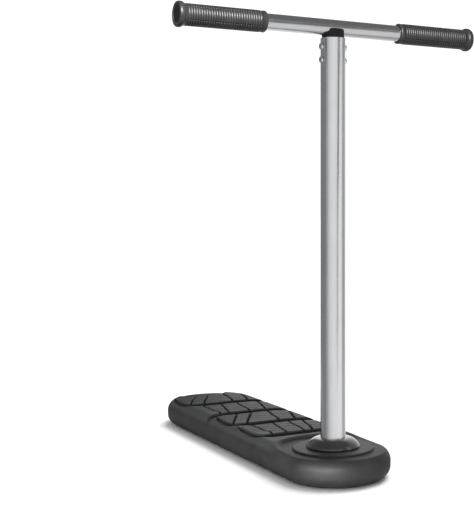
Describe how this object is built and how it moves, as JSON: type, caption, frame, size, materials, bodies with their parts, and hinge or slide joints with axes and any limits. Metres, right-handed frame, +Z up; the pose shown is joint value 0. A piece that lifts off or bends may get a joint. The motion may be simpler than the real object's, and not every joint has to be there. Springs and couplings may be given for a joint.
{
  "type": "trampoline scooter",
  "caption": "Trampoline trick scooter: foam foot deck with treaded top and a T-handlebar column that spins freely on ball bearings in the nose.",
  "frame": {"origin": "on the floor under the centre of the bounding box, which is the centre of the deck's sole", "axes": "+X towards the nose, where the column stands; +Y to the rider's left, along the handlebar; +Z up along the column"},
  "size_m": [0.64, 0.5, 0.6955],
  "materials": {
    "deck_foam": "closed-cell moulded foam, matte skin",
    "core_board": "plywood, raw",
    "housing_alloy": "turned, bare",
    "zinc_steel": "bright zinc plate",
    "spring_steel": "oiled spring steel",
    "bearing_steel": "ground and polished",
    "cage_nylon": "moulded nylon",
    "disc_plastic": "satin moulded plastic",
    "plug_rubber": "soft rubber, matte",
    "collar_gloss": "gloss black coat",
    "black_steel": "black oxide",
    "satin_alloy": "satin anodised",
    "saddle_plastic": "glass-filled nylon",
    "grip_rubber": "ribbed rubber with a soft sheen"
  },
  "bodies": {
    "deck": {"deck_foam": "deck_foam", "core_board": "core_board", "bearing_housing": "housing_alloy", "backing_ring": "zinc_steel", "flange_bolts": "zinc_steel", "flange_nuts": "zinc_steel", "circlip": "spring_steel", "lower_outer_race": "bearing_steel", "upper_outer_race": "bearing_steel", "cover_disc": "disc_plastic", "sole_plug": "plug_rubber"},
    "column": {"spindle": "housing_alloy", "kingpin_washer": "zinc_steel", "kingpin_bolt": "zinc_steel", "lower_inner_race": "bearing_steel", "upper_inner_race": "bearing_steel", "race_spacer": "housing_alloy", "post_collar": "collar_gloss", "collar_screws": "black_steel", "post_tube": "satin_alloy", "saddle": "saddle_plastic", "saddle_screws": "zinc_steel", "bar_bolt": "black_steel", "bar_nut": "zinc_steel", "handlebar_tube": "satin_alloy", "grip_left": "grip_rubber", "grip_right": "grip_rubber", "end_plug_left": "saddle_plastic", "end_plug_right": "saddle_plastic"},
    "ball_rings": {"lower_balls": "bearing_steel", "upper_balls": "bearing_steel", "lower_cage": "cage_nylon", "upper_cage": "cage_nylon"}
  },
  "joints": [
    {"name": "column_spin", "type": "hinge", "parent": "deck", "child": "column", "pos_m": [0.23, 0, 0.045], "axis": [0, 0, 1], "continuous": true},
    {"name": "ball_ring_spin", "type": "hinge", "parent": "deck", "child": "ball_rings", "pos_m": [0.23, 0, 0.0275], "axis": [0, 0, 1], "continuous": true}
  ],
  "couplings": [
    {"joint": "ball_ring_spin", "follows": "column_spin", "ratio": 0.4085}
  ]
}
